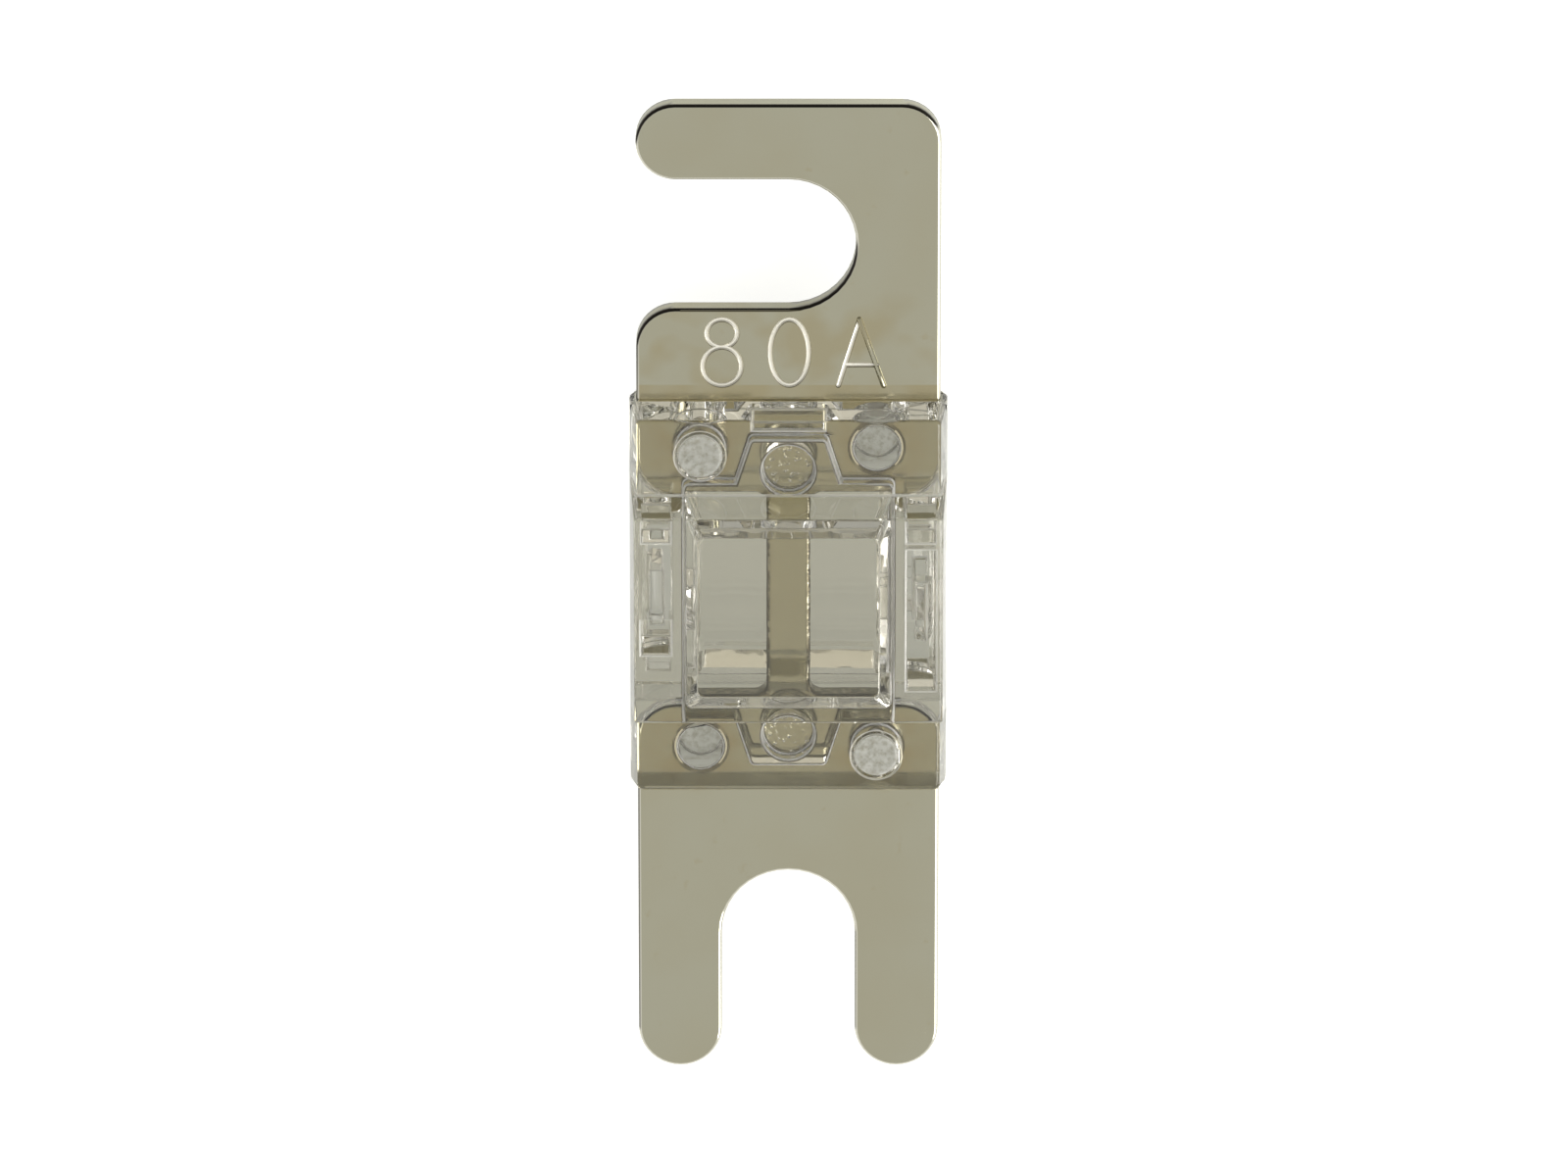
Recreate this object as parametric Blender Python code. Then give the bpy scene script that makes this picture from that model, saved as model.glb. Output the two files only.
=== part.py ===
"""Bolt down strip fuse.

One stamped, nickel plated strip carries two open stud slots. Its upper slot opens
sideways and its lower slot opens at the end, so the fuse can be swung under loosened
nuts. A narrow neck between the two shoulders is the fusible link. Two identical clear
mouldings, one turned over the other, clamp the strip, locate it with pins, close on
each other with a hook at one side and a catch at the other, and form the arc chamber.

+Y runs along the strip to the side slot, +Z faces the reader of the rating, and the
rear moulding's raised block lies on z = 0. Sizes are in metres.
"""

import math

import bmesh
import bpy
from mathutils import Vector

MM = 0.001

# Strip
STRIP_WIDTH = 12.4 * MM
STRIP_THICKNESS = 1.0 * MM
STUD_PITCH = 30.0 * MM
SLOT_WIDTH = 5.5 * MM
ARM_WIDTH = 3.2 * MM
PRONG_REACH = 5.95 * MM
CORNER_RADIUS = 1.6 * MM
NECK_WIDTH = 1.8 * MM
NECK_LENGTH = 8.8 * MM
NECK_FILLET = 0.5 * MM
STRIP_EDGE_ROUND = 0.15 * MM

# Fits
WELD = 0.0005 * MM
FIT = 0.1 * MM
PARTING_GAP = 0.1 * MM
PIN_CLEARANCE = 0.1 * MM

# Moulding, with its heights measured from the strip's middle plane
HOUSING_LENGTH = 16.9 * MM
SKIRT = 0.2 * MM
PLATE_HEIGHT = 2.2 * MM
BLOCK_RAISE = 1.8 * MM
BLOCK_LENGTH = 10.4 * MM
END_DRAFT = math.radians(11.0)
PLATE_SIDE_DRAFT = math.radians(8.0)
BLOCK_SIDE_DRAFT = math.radians(3.0)
HOUSING_CORNER = 0.25 * MM
HOUSING_EDGE_ROUND = 0.12 * MM

# Locating pins
PIN_DIAMETER = 1.84 * MM
PIN_SPACING_X = 7.2 * MM
PIN_END_MARGIN = 1.95 * MM
PIN_PROUD = 0.05 * MM
PIN_EDGE_ROUND = 0.08 * MM

# Arc chamber, tongues and window pocket, the pocket measured at its roof
CHAMBER_WIDTH = 8.6 * MM
CHAMBER_LENGTH = 10.4 * MM
CHAMBER_HEIGHT = 1.65 * MM
TONGUE_LENGTH = 1.9 * MM
TONGUE_ROOT_WIDTH = 4.3 * MM
TONGUE_TIP_WIDTH = 3.1 * MM
CHAMBER_CORNER = 0.25 * MM
POCKET_WIDTH = 7.46 * MM
POCKET_LENGTH = 6.9 * MM
POCKET_CORNER = 0.3 * MM
POCKET_EDGE_ROUND = 0.06 * MM
POCKET_END_DRAFT = math.radians(25.5)
POCKET_SIDE_DRAFT = math.radians(15.5)
ROOF_THICKNESS = 0.6 * MM
POST_DIAMETER = 2.12 * MM
POST_SPACING = 11.5 * MM

# Gate recess in the end wall
GATE_WIDTH = 2.95 * MM
GATE_DEPTH = 0.4 * MM
GATE_BOTTOM = 1.25 * MM

# Side latches
HOOK_THICKNESS = 0.55 * MM
HOOK_WIDTH = 2.6 * MM
HOOK_REACH = 2.7 * MM
BARB = 0.22 * MM
BARB_HEIGHT = 0.8 * MM
LATCH_WALL = 0.5 * MM
LATCH_LENGTH_UP = 3.05 * MM
LATCH_LENGTH_DOWN = 3.0 * MM
LEDGE_HEIGHT = 1.5 * MM
RELIEF_BAR = 0.35 * MM
RELIEF_LENGTH = 0.95 * MM
RELIEF_DEPTH = 1.6 * MM
WINDOW_LENGTH = 1.5 * MM
WINDOW_OFFSET = 0.7 * MM
WINDOW_DEPTH = 2.2 * MM

# Facets
ARC_STEPS = 10
ROUND_STEPS = 3
HOLE_SIDES = 40

HALF_WIDTH = STRIP_WIDTH / 2
HALF_SLOT = SLOT_WIDTH / 2
STUD_Y = STUD_PITCH / 2
TOP_Y = STUD_Y + HALF_SLOT + ARM_WIDTH
BOTTOM_Y = -STUD_Y - PRONG_REACH
PRONG_WIDTH = HALF_WIDTH - HALF_SLOT
HOUSING_HALF_WIDTH = HALF_WIDTH + FIT + SKIRT
BLOCK_HEIGHT = PLATE_HEIGHT + BLOCK_RAISE
POCKET_HEIGHT = BLOCK_HEIGHT - ROOF_THICKNESS
SEAT_HEIGHT = STRIP_THICKNESS / 2 + FIT
PIN_RADIUS = PIN_DIAMETER / 2
HOLE_RADIUS = PIN_RADIUS + PIN_CLEARANCE
PIN_X = PIN_SPACING_X / 2
PIN_Y = HOUSING_LENGTH / 2 - PIN_END_MARGIN
LATCH_OUTER_X = HOUSING_HALF_WIDTH - LATCH_WALL
LATCH_INNER_X = LATCH_OUTER_X - HOOK_THICKNESS - 2 * BARB - 2 * FIT


def offset_corners(corners, inset):
    """The corners of a counter-clockwise outline with every side moved inwards by inset."""
    moved = []
    for index, (x, y, radius) in enumerate(corners):
        before = Vector(corners[index - 1][:2])
        here = Vector((x, y))
        after = Vector(corners[(index + 1) % len(corners)][:2])
        along_in = (here - before).normalized()
        along_out = (after - here).normalized()
        turn = along_in.cross(along_out)
        normal_in = Vector((-along_in.y, along_in.x))
        normal_out = Vector((-along_out.y, along_out.x))
        shift = (normal_in + normal_out) / (1 + normal_in.dot(normal_out)) * inset
        grown = radius - inset if turn > 0 else radius + inset
        moved.append((x + shift.x, y + shift.y, max(grown, 0.0)))
    return moved


def outline(corners):
    """The points of an outline whose corners are each rounded by their own radius."""
    points = []
    for index, (x, y, radius) in enumerate(corners):
        here = Vector((x, y))
        to_before = (Vector(corners[index - 1][:2]) - here).normalized()
        to_after = (Vector(corners[(index + 1) % len(corners)][:2]) - here).normalized()
        half_angle = to_before.angle(to_after) / 2
        reach = radius / math.tan(half_angle)
        start = here + to_before * reach
        end = here + to_after * reach
        middle = (to_before + to_after).normalized()
        centre = here + middle * (radius / math.sin(half_angle))
        first = start - centre
        sweep = first.angle_signed(end - centre) if radius > 0 else 0.0
        for step in range(ARC_STEPS + 1):
            angle = -sweep * step / ARC_STEPS
            turned = Vector(
                (
                    first.x * math.cos(angle) - first.y * math.sin(angle),
                    first.x * math.sin(angle) + first.y * math.cos(angle),
                )
            )
            points.append(centre + turned)
    return points


def rectangle(width, length, radius, centre=(0.0, 0.0)):
    """The corners of a rectangle, counter-clockwise."""
    x = width / 2
    y = length / 2
    middle_x, middle_y = centre
    return [
        (middle_x + x, middle_y - y, radius),
        (middle_x + x, middle_y + y, radius),
        (middle_x - x, middle_y + y, radius),
        (middle_x - x, middle_y - y, radius),
    ]


def loft(name, rings):
    """A closed solid through rings of (points, height), lowest first."""
    shape = bmesh.new()
    loops = []
    for points, height in rings:
        loops.append([shape.verts.new((p.x, p.y, height)) for p in points])
    shape.faces.new(list(reversed(loops[0])))
    for low, high in zip(loops, loops[1:]):
        for index in range(len(low)):
            nearby = (index + 1) % len(low)
            shape.faces.new((low[index], low[nearby], high[nearby], high[index]))
    shape.faces.new(loops[-1])
    bmesh.ops.remove_doubles(shape, verts=shape.verts, dist=WELD)
    bmesh.ops.recalc_face_normals(shape, faces=shape.faces)
    mesh = bpy.data.meshes.new(name)
    shape.to_mesh(mesh)
    shape.free()
    made = bpy.data.objects.new(name, mesh)
    bpy.context.scene.collection.objects.link(made)
    return made


def prism(name, corners, low, high):
    """A straight extrusion of an outline between two heights."""
    points = outline(corners)
    return loft(name, [(points, low), (points, high)])


def edge_steps():
    """The angles of a quarter round, from its wall to its face."""
    return [math.pi / 2 * step / ROUND_STEPS for step in range(ROUND_STEPS + 1)]


def rounded_rings(corners, low, high, edge):
    """Rings of an upright wall whose lower and upper edges are rounded."""
    rings = []
    for angle in reversed(edge_steps()):
        inset = edge * (1 - math.cos(angle))
        height = low + edge * (1 - math.sin(angle))
        rings.append((outline(offset_corners(corners, inset)), height))
    for angle in edge_steps():
        inset = edge * (1 - math.cos(angle))
        height = high - edge * (1 - math.sin(angle))
        rings.append((outline(offset_corners(corners, inset)), height))
    return rings


def drafted_rings(size, low, high, corner, edge, side_draft, end_draft):
    """Rings of a rectangle that narrows with height and ends in a rounded edge.

    size is the width and the length at the height called low.
    """
    width, length = size
    heights = [(low, 0.0)]
    for angle in edge_steps():
        heights.append((high - edge * (1 - math.sin(angle)), edge * (1 - math.cos(angle))))
    rings = []
    for height, inset in heights:
        side = inset + math.tan(side_draft) * (height - low)
        end = inset + math.tan(end_draft) * (height - low)
        corners = rectangle(width - 2 * side, length - 2 * end, corner)
        rings.append((outline(corners), height))
    return rings


def cylinder(name, radius, low, high, centre, edge=0.0):
    """A pin or a drill, with its lower rim rounded where edge is given."""

    def circle(size):
        step = 2 * math.pi / HOLE_SIDES
        return [
            Vector(centre) + Vector((math.cos(i * step), math.sin(i * step))) * size
            for i in range(HOLE_SIDES)
        ]

    rings = []
    if edge:
        rings.append((circle(radius - edge), low))
        rings.append((circle(radius), low + edge))
    else:
        rings.append((circle(radius), low))
    rings.append((circle(radius), high))
    return loft(name, rings)


def side_profile(name, profile, low_y, high_y):
    """A profile of (x, z) points extruded along Y."""
    shape = bmesh.new()
    ends = [
        [shape.verts.new((x, y, z)) for x, z in profile] for y in (low_y, high_y)
    ]
    shape.faces.new(ends[0])
    shape.faces.new(list(reversed(ends[1])))
    for index in range(len(profile)):
        nearby = (index + 1) % len(profile)
        shape.faces.new(
            (ends[0][nearby], ends[0][index], ends[1][index], ends[1][nearby])
        )
    bmesh.ops.recalc_face_normals(shape, faces=shape.faces)
    mesh = bpy.data.meshes.new(name)
    shape.to_mesh(mesh)
    shape.free()
    made = bpy.data.objects.new(name, mesh)
    bpy.context.scene.collection.objects.link(made)
    return made


def combine(target, tool, operation):
    """Applies one Boolean to target and removes the tool."""
    modifier = target.modifiers.new(tool.name, "BOOLEAN")
    modifier.operation = operation
    modifier.solver = "EXACT"
    modifier.object = tool
    graph = bpy.context.evaluated_depsgraph_get()
    result = bpy.data.meshes.new_from_object(target.evaluated_get(graph))
    target.modifiers.clear()
    old_mesh = target.data
    target.data = result
    result.name = old_mesh.name
    bpy.data.meshes.remove(old_mesh)
    bpy.data.objects.remove(tool)


def material(name, color, roughness, metallic, transmission=0.0):
    """A Principled BSDF of one colour."""
    made = bpy.data.materials.new(name)
    made.use_nodes = True
    shader = made.node_tree.nodes["Principled BSDF"]
    shader.inputs["Base Color"].default_value = (*color, 1.0)
    shader.inputs["Roughness"].default_value = roughness
    shader.inputs["Metallic"].default_value = metallic
    shader.inputs["Transmission Weight"].default_value = transmission
    return made


def finish(part, surface, smooth_angle):
    """Gives a part its material and smooth rounds."""
    part.data.materials.clear()
    part.data.materials.append(surface)
    part.data.shade_smooth()
    part.data.set_sharp_from_angle(angle=smooth_angle)


def strip_corners():
    """The stamped outline, counter-clockwise from the right prong."""
    neck_x = NECK_WIDTH / 2
    neck_y = NECK_LENGTH / 2
    arm_round = ARM_WIDTH / 2
    prong_round = PRONG_WIDTH / 2
    return [
        (HALF_WIDTH, BOTTOM_Y, prong_round),
        (HALF_WIDTH, -neck_y, CORNER_RADIUS),
        (neck_x, -neck_y, NECK_FILLET),
        (neck_x, neck_y, NECK_FILLET),
        (HALF_WIDTH, neck_y, CORNER_RADIUS),
        (HALF_WIDTH, TOP_Y, CORNER_RADIUS),
        (-HALF_WIDTH, TOP_Y, arm_round),
        (-HALF_WIDTH, STUD_Y + HALF_SLOT, arm_round),
        (HALF_SLOT, STUD_Y + HALF_SLOT, HALF_SLOT),
        (HALF_SLOT, STUD_Y - HALF_SLOT, HALF_SLOT),
        (-HALF_WIDTH, STUD_Y - HALF_SLOT, CORNER_RADIUS),
        (-HALF_WIDTH, neck_y, CORNER_RADIUS),
        (-neck_x, neck_y, NECK_FILLET),
        (-neck_x, -neck_y, NECK_FILLET),
        (-HALF_WIDTH, -neck_y, CORNER_RADIUS),
        (-HALF_WIDTH, BOTTOM_Y, prong_round),
        (-HALF_SLOT, BOTTOM_Y, prong_round),
        (-HALF_SLOT, -STUD_Y + HALF_SLOT, HALF_SLOT),
        (HALF_SLOT, -STUD_Y + HALF_SLOT, HALF_SLOT),
        (HALF_SLOT, BOTTOM_Y, prong_round),
    ]


def make_strip():
    """The fuse element: terminals, shoulders and neck in one stamping."""
    half = STRIP_THICKNESS / 2
    rings = rounded_rings(strip_corners(), -half, half, STRIP_EDGE_ROUND)
    strip = loft("fuse_strip", rings)
    for side in (-1, 1):
        for end in (-1, 1):
            centre = (side * PIN_X, end * PIN_Y)
            hole = cylinder("pin_hole", HOLE_RADIUS, -2 * half, 2 * half, centre)
            combine(strip, hole, "DIFFERENCE")
    mark_terminals(strip)
    return strip


def mark_terminals(strip):
    """Lines across the strip, where each bare terminal ends and the moulding starts."""
    shape = bmesh.new()
    shape.from_mesh(strip.data)
    for end in (-1, 1):
        bmesh.ops.bisect_plane(
            shape,
            geom=shape.verts[:] + shape.edges[:] + shape.faces[:],
            plane_co=(0.0, end * (HOUSING_LENGTH / 2 + FIT), 0.0),
            plane_no=(0.0, 1.0, 0.0),
        )
    shape.to_mesh(strip.data)
    shape.free()


def tongue_corners():
    """The shallow chamber with a tapered tongue at each end, counter-clockwise."""
    side = CHAMBER_WIDTH / 2
    end = CHAMBER_LENGTH / 2
    root = TONGUE_ROOT_WIDTH / 2
    tip = TONGUE_TIP_WIDTH / 2
    reach = end + TONGUE_LENGTH
    return [
        (side, -end, CHAMBER_CORNER),
        (side, end, CHAMBER_CORNER),
        (root, end, 0.0),
        (tip, reach, CHAMBER_CORNER),
        (-tip, reach, CHAMBER_CORNER),
        (-root, end, 0.0),
        (-side, end, CHAMBER_CORNER),
        (-side, -end, CHAMBER_CORNER),
        (-root, -end, 0.0),
        (-tip, -reach, CHAMBER_CORNER),
        (tip, -reach, CHAMBER_CORNER),
        (root, -end, 0.0),
    ]


def make_shell():
    """The outer form: the drafted plate with the raised block across its middle."""
    foot = PARTING_GAP / 2
    width = 2 * HOUSING_HALF_WIDTH
    plate = drafted_rings(
        (width, HOUSING_LENGTH),
        foot,
        PLATE_HEIGHT,
        HOUSING_CORNER,
        HOUSING_EDGE_ROUND,
        PLATE_SIDE_DRAFT,
        END_DRAFT,
    )
    block = drafted_rings(
        (width, BLOCK_LENGTH),
        foot,
        BLOCK_HEIGHT,
        HOUSING_EDGE_ROUND,
        HOUSING_EDGE_ROUND,
        BLOCK_SIDE_DRAFT,
        END_DRAFT,
    )
    shell = loft("housing_half", plate)
    combine(shell, loft("raised_block", block), "UNION")
    return shell


def cut_chamber(shell):
    """Cuts the seat of the strip, the arc chamber and the window pocket."""
    below = -STRIP_THICKNESS
    seat = prism("strip_seat", offset_corners(strip_corners(), -FIT), below, SEAT_HEIGHT)
    combine(shell, seat, "DIFFERENCE")
    chamber = prism("arc_chamber", tongue_corners(), below, CHAMBER_HEIGHT)
    combine(shell, chamber, "DIFFERENCE")
    mouth = CHAMBER_HEIGHT - FIT
    rise = POCKET_HEIGHT - mouth
    mouth_size = (
        POCKET_WIDTH + 2 * rise * math.tan(POCKET_SIDE_DRAFT),
        POCKET_LENGTH + 2 * rise * math.tan(POCKET_END_DRAFT),
    )
    pocket = drafted_rings(
        mouth_size,
        mouth,
        POCKET_HEIGHT,
        POCKET_CORNER,
        POCKET_EDGE_ROUND,
        POCKET_SIDE_DRAFT,
        POCKET_END_DRAFT,
    )
    combine(shell, loft("window_pocket", pocket), "DIFFERENCE")


def add_posts(shell):
    """The round posts in the tongues, which hold the strip's shoulders down."""
    root = (CHAMBER_HEIGHT + PLATE_HEIGHT) / 2
    for end in (-1, 1):
        centre = (0.0, end * POST_SPACING / 2)
        post = cylinder("post", POST_DIAMETER / 2, SEAT_HEIGHT, root, centre)
        combine(shell, post, "UNION")


def cut_gate(shell):
    """Cuts the recess that hides the broken gate in the end wall."""
    outer_y = HOUSING_LENGTH / 2
    lean = math.tan(END_DRAFT) * PLATE_HEIGHT
    floor_y = outer_y - lean - GATE_DEPTH
    centre = (0.0, (floor_y + outer_y + GATE_DEPTH) / 2)
    corners = rectangle(GATE_WIDTH, outer_y + GATE_DEPTH - floor_y, 0.0, centre)
    gate = prism("gate_recess", corners, GATE_BOTTOM, BLOCK_HEIGHT)
    combine(shell, gate, "DIFFERENCE")


def cut_latch(shell):
    """Cuts the catch at +X, with its ledge, and the relief pockets on both sides."""
    over = BLOCK_HEIGHT + FIT
    ledge_low = LEDGE_HEIGHT
    ledge_high = LEDGE_HEIGHT + BARB_HEIGHT / 2
    profile = [
        (LATCH_INNER_X, -FIT),
        (LATCH_OUTER_X - BARB, -FIT),
        (LATCH_OUTER_X - BARB, ledge_low),
        (LATCH_OUTER_X, ledge_high),
        (LATCH_OUTER_X, over),
        (LATCH_INNER_X, over),
    ]
    slot = side_profile("catch_slot", profile, -LATCH_LENGTH_DOWN, LATCH_LENGTH_UP)
    combine(shell, slot, "DIFFERENCE")
    relief_low = LATCH_LENGTH_UP + RELIEF_BAR
    relief_high = relief_low + RELIEF_LENGTH
    width = LATCH_OUTER_X - LATCH_INNER_X
    middle_x = (LATCH_OUTER_X + LATCH_INNER_X) / 2
    for side in (-1, 1):
        centre = (side * middle_x, (relief_low + relief_high) / 2)
        corners = rectangle(width, relief_high - relief_low, 0.0, centre)
        floor = BLOCK_HEIGHT - RELIEF_DEPTH
        relief = prism("relief_pocket", corners, floor, over)
        combine(shell, relief, "DIFFERENCE")
    window = rectangle(width, WINDOW_LENGTH, 0.0, (-middle_x, -WINDOW_OFFSET))
    opening = prism("hook_window", window, BLOCK_HEIGHT - WINDOW_DEPTH, over)
    combine(shell, opening, "DIFFERENCE")


def add_pins(shell):
    """Two pins that pass through the strip and the other moulding, and two holes for its own."""
    tip = -PLATE_HEIGHT - PIN_PROUD
    for end in (-1, 1):
        hole_centre = (-end * PIN_X, end * PIN_Y)
        hole = cylinder("pin_bore", HOLE_RADIUS, -FIT, BLOCK_HEIGHT, hole_centre)
        combine(shell, hole, "DIFFERENCE")
        root = PLATE_HEIGHT - HOUSING_EDGE_ROUND
        pin_centre = (end * PIN_X, end * PIN_Y)
        pin = cylinder("pin", PIN_RADIUS, tip, root, pin_centre, PIN_EDGE_ROUND)
        combine(shell, pin, "UNION")


def add_hook(shell):
    """The snap hook at -X, which reaches through the other moulding's catch."""
    outer = -LATCH_OUTER_X + BARB + FIT
    inner = outer + HOOK_THICKNESS
    catch = -LEDGE_HEIGHT - BARB_HEIGHT / 2 - FIT
    profile = [
        (inner, SEAT_HEIGHT * 2),
        (inner, -HOOK_REACH),
        (outer, -HOOK_REACH - BARB),
        (outer - BARB, catch - FIT),
        (outer, catch),
        (outer, SEAT_HEIGHT * 2),
    ]
    hook = side_profile("hook", profile, -HOOK_WIDTH / 2, HOOK_WIDTH / 2)
    combine(shell, hook, "UNION")


def make_housing_half():
    """One moulding, modelled as the front one."""
    shell = make_shell()
    cut_chamber(shell)
    add_posts(shell)
    cut_gate(shell)
    cut_latch(shell)
    add_pins(shell)
    add_hook(shell)
    return shell


def clear_scene():
    for found in list(bpy.data.objects):
        bpy.data.objects.remove(found, do_unlink=True)


def main():
    clear_scene()
    centre = bpy.data.objects.new("fuse_centre", None)
    centre.location.z = BLOCK_HEIGHT
    bpy.context.scene.collection.objects.link(centre)

    plating = material("nickel_plate", (0.52, 0.50, 0.42), 0.28, 1.0)
    clear = material("clear_polycarbonate", (0.86, 0.87, 0.83), 0.04, 0.0, 1.0)

    strip = make_strip()
    finish(strip, plating, math.radians(35))
    front = make_housing_half()
    front.name = "front_housing_half"
    finish(front, clear, math.radians(35))
    rear = bpy.data.objects.new("rear_housing_half", front.data)
    rear.rotation_euler.y = math.pi
    bpy.context.scene.collection.objects.link(rear)
    for piece in (strip, front, rear):
        piece.parent = centre


main()
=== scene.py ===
"""Looks of the bolt down strip fuse: its plated strip, its clear mouldings and a plain stage.

The frame holds three pieces: the strip and the two halves of the clear housing. Each is
copied, welded and finished here, and the copy stands for its solid. Sizes are in metres.
"""

import math

import bmesh
import bpy
from bpy.props import FloatProperty, FloatVectorProperty, PointerProperty
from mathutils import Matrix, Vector


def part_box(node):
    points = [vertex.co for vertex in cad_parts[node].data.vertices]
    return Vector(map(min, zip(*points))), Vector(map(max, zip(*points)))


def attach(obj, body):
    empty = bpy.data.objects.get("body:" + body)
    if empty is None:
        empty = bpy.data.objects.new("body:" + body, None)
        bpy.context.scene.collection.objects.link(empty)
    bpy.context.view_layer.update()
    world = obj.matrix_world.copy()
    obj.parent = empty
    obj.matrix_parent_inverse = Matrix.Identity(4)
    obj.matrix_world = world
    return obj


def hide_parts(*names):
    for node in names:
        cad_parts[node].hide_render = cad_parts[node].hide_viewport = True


bl_info = {
    "name": "Bolt down strip fuse",
    "version": (1, 0, 0),
    "blender": (4, 5, 0),
    "location": "View3D > Sidebar > Strip fuse",
    "description": "Finishes the plated strip and the clear housing, and sets the stage",
    "category": "Object",
}

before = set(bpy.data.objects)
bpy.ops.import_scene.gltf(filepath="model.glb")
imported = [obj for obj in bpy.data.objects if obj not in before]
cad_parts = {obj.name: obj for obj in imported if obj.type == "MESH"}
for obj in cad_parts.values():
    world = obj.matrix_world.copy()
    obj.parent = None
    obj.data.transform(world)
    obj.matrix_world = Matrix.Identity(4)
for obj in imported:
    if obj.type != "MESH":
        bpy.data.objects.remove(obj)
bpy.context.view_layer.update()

MM = 0.001
STRIP_LOW, STRIP_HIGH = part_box("fuse_strip")
MIDDLE_Z = (STRIP_LOW.z + STRIP_HIGH.z) / 2
STRIP_TOP = STRIP_HIGH.z
WELD = 0.001 * MM
SMOOTH_ANGLE = math.radians(35)
LOOP_POINTS = 48
ROUNDED = "rounded"
OUTER_MARK = 0.35
EDGE_TURN = 0.6
EDGE_SHARE = 0.45
FLAT_SIDES = 4
FLAT_NORMAL = 0.9999
FLAT_STEP = 0.002 * MM

# Places on the strip, measured from the middle of the fuse
RATING_Y = 10.4 * MM
RATING_HALF_WIDTH = 4.4 * MM
RATING_HALF_HEIGHT = 1.8 * MM
RATING_DEPTH = 0.3 * MM
# Dark brown for painted shade on the rims of the pressed strokes, in and around the pin holes and on the clear
# chamber's rounds; also for the darker beads along the neck's edges.
GROOVE_RIM = (0.16, 0.14, 0.09)
# Near black, painted shade on the rolled rims that face the side slot and the left.
RIM_SHADE = (0.025, 0.022, 0.018)

# Places on the moulding, measured from the middle of the fuse
PIN_X = 3.6 * MM
PIN_Y = 6.5 * MM
PIN_HOLE_RADIUS = 1.08 * MM
PIN_RING_RADIUS = 1.19 * MM
PIN_STAIN_RADIUS = 2.4 * MM
PIN_HEIGHT = 2.22 * MM
PIN_FIRST_Y = 5.5 * MM
CHAMBER_HEIGHT = 1.65 * MM
MOUTH_REACH_Y = 4.6 * MM
MOUTH_EDGE = 0.02 * MM
CHAMBER_REACH_X = 4.55 * MM
CHAMBER_REACH_Y = 7.4 * MM
POST_Y = 5.75 * MM
POST_RADIUS = 1.04 * MM
POST_FACE = 0.63 * MM

# A hair under the fuse, so that light leaves the plastic before it meets the floor
FLOOR_DROP = 0.02 * MM

# Light that is caught in the clear walls is followed this many times
PLASTIC_BOUNCES = 24


class StampSettings(bpy.types.PropertyGroup):
    """The rating pressed into the strip."""

    baseline: FloatProperty(
        name="Baseline",
        description="Where the figures stand, from the middle of the fuse",
        default=8.97 * MM,
        unit="LENGTH",
    )
    height: FloatProperty(
        name="Height",
        description="Height of the figures, between the middles of their strokes",
        default=2.83 * MM,
        unit="LENGTH",
    )
    stroke: FloatProperty(
        name="Stroke radius",
        description="Radius of the rounded die that presses each stroke",
        default=0.115 * MM,
        unit="LENGTH",
    )
    lift: FloatProperty(
        name="Die lift",
        description="Height of the die's centre over the face, which leaves the groove's depth",
        default=0.02 * MM,
        unit="LENGTH",
    )


class PlatingSettings(bpy.types.PropertyGroup):
    """The bright nickel finish of the strip."""

    color: FloatVectorProperty(
        name="Nickel",
        description="Colour of the clean plating",
        default=(0.475, 0.460, 0.350),
        subtype="COLOR",
        min=0.0,
        max=1.0,
    )
    # Also the colour of the painted reflection band just beyond the housing's end.
    stain: FloatVectorProperty(
        name="Stain",
        description="Colour of the plating where it has been handled",
        default=(0.430, 0.380, 0.240),
        subtype="COLOR",
        min=0.0,
        max=1.0,
    )
    roughness: FloatProperty(
        name="Roughness",
        description="How much the plating blurs what it mirrors",
        default=0.07,
        subtype="FACTOR",
        min=0.0,
        max=1.0,
    )
    # Also the painted highlight on the strokes' floors, the rolled edges and the pin holes' side walls.
    bright: FloatVectorProperty(
        name="Bright metal",
        description="Colour of the pressed strokes and of the punched pin holes",
        default=(0.93, 0.90, 0.80),
        subtype="COLOR",
        min=0.0,
        max=1.0,
    )


class HousingSettings(bpy.types.PropertyGroup):
    """The clear moulding material."""

    tint: FloatVectorProperty(
        name="Tint",
        description="Colour of light that has passed through the wall",
        default=(0.93, 0.915, 0.865),
        subtype="COLOR",
        min=0.0,
        max=1.0,
    )
    ior: FloatProperty(
        name="Refractive index",
        description="How strongly the plastic bends light",
        default=1.585,
        min=1.0,
        max=2.0,
    )
    edge: FloatProperty(
        name="Edge radius",
        description="Radius of the moulding's sharp edges",
        default=0.08 * MM,
        unit="LENGTH",
    )
    chamber_edge: FloatProperty(
        name="Chamber edge radius",
        description="Radius where the arc chamber's walls meet its roof",
        default=0.13 * MM,
        unit="LENGTH",
    )
    edge_scatter: FloatProperty(
        name="Edge scatter",
        description="How much of the light the chamber's rounded edges scatter",
        default=0.85,
        subtype="FACTOR",
        min=0.0,
        max=1.0,
    )
    # Painted shade in the pits of the ground pin ends.
    frost_shade: FloatVectorProperty(
        name="Frost shade",
        description="Colour of the pits in the ground pin ends",
        default=(0.50, 0.47, 0.38),
        subtype="COLOR",
        min=0.0,
        max=1.0,
    )
    frost: FloatProperty(
        name="Frost",
        description="Roughness of the ground pin ends",
        default=0.42,
        subtype="FACTOR",
        min=0.0,
        max=1.0,
    )


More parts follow.
